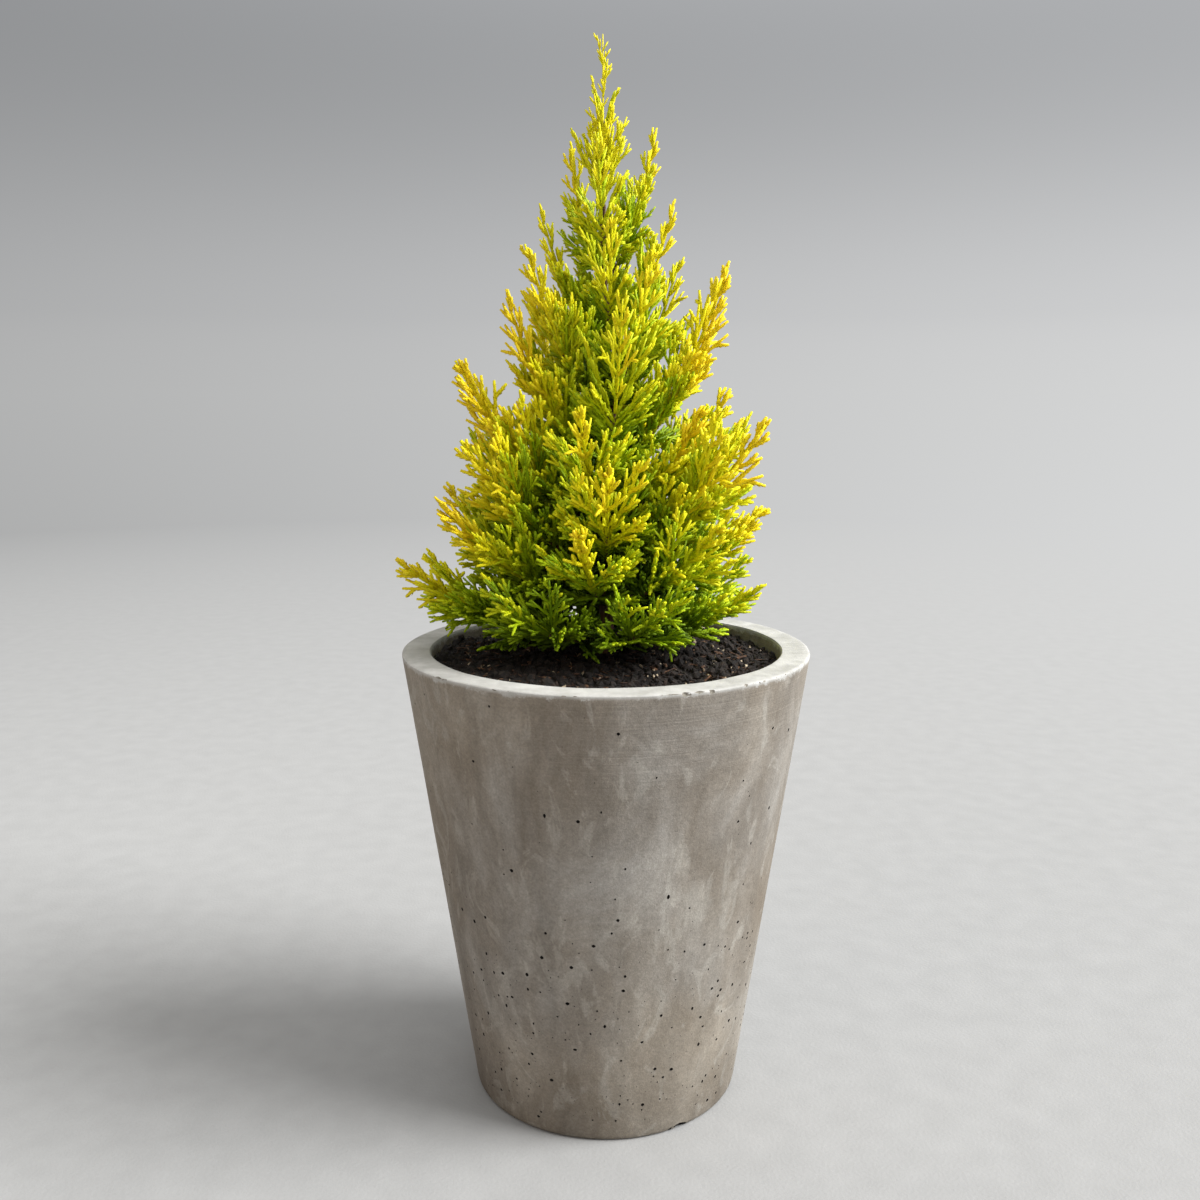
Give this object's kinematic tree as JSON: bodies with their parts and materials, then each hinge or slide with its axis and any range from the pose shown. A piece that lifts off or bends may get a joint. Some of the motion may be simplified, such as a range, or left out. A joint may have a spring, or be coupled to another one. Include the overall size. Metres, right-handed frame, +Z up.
{
  "type": "potted lemon cypress",
  "caption": "Young cone-shaped lemon cypress with plumes of golden-green scale foliage, planted in a tall tapered round concrete pot.",
  "frame": {"origin": "centre of the pot's flat underside", "axes": "+Z up, along the trunk from the pot's foot to the leader's tip; -Y towards the front of the picture, +X to its right"},
  "size_m": [0.3556, 0.3552, 0.906],
  "materials": {
    "concrete": "matt cast concrete, mottled light grey with pinholes",
    "soil": "dark crumbly potting mix with bark fibres",
    "bark": "thin brown bark with fine ridges",
    "foliage_green": "satin lime-green scale foliage",
    "foliage_gold": "satin golden-yellow scale foliage"
  },
  "bodies": {
    "root": {"pot": "concrete", "soil": "soil", "trunk": "bark", "bough_low_1": "bark", "bough_low_2": "bark", "bough_low_3": "bark", "bough_low_4": "bark", "bough_low_5": "bark", "bough_low_6": "bark", "bough_low_7": "bark", "bough_skirt_1": "bark", "bough_skirt_2": "bark", "bough_skirt_3": "bark", "bough_skirt_4": "bark", "bough_skirt_5": "bark", "bough_skirt_6": "bark", "bough_skirt_7": "bark", "foliage_high_1": "foliage_green", "foliage_high_2": "foliage_green", "foliage_high_3": "foliage_green", "foliage_high_4": "foliage_green", "foliage_leader": "foliage_green", "foliage_low_1": "foliage_green", "foliage_low_2": "foliage_green", "foliage_low_3": "foliage_green", "foliage_low_4": "foliage_green", "foliage_low_5": "foliage_green", "foliage_low_6": "foliage_green", "foliage_low_7": "foliage_green", "foliage_middle_1": "foliage_gold", "foliage_middle_2": "foliage_gold", "foliage_middle_3": "foliage_gold", "foliage_middle_4": "foliage_gold", "foliage_middle_5": "foliage_gold", "foliage_middle_6": "foliage_gold", "foliage_skirt_1": "foliage_green", "foliage_skirt_2": "foliage_green", "foliage_skirt_3": "foliage_green", "foliage_skirt_4": "foliage_green", "foliage_skirt_5": "foliage_green", "foliage_skirt_6": "foliage_green", "foliage_skirt_7": "foliage_green", "foliage_spire_1": "foliage_green", "foliage_spire_2": "foliage_green", "foliage_spire_3": "foliage_green", "foliage_spire_4": "foliage_green", "foliage_top_1": "foliage_green", "foliage_top_2": "foliage_green", "foliage_top_3": "foliage_green", "foliage_upper_1": "foliage_gold", "foliage_upper_2": "foliage_gold", "foliage_upper_3": "foliage_gold", "foliage_upper_4": "foliage_gold", "foliage_upper_5": "foliage_gold", "foliage_upper_middle_1": "foliage_gold", "foliage_upper_middle_2": "foliage_gold", "foliage_upper_middle_3": "foliage_gold", "foliage_upper_middle_4": "foliage_gold", "foliage_upper_middle_5": "foliage_gold", "foliage_upper_middle_6": "foliage_gold"}
  },
  "joints": []
}
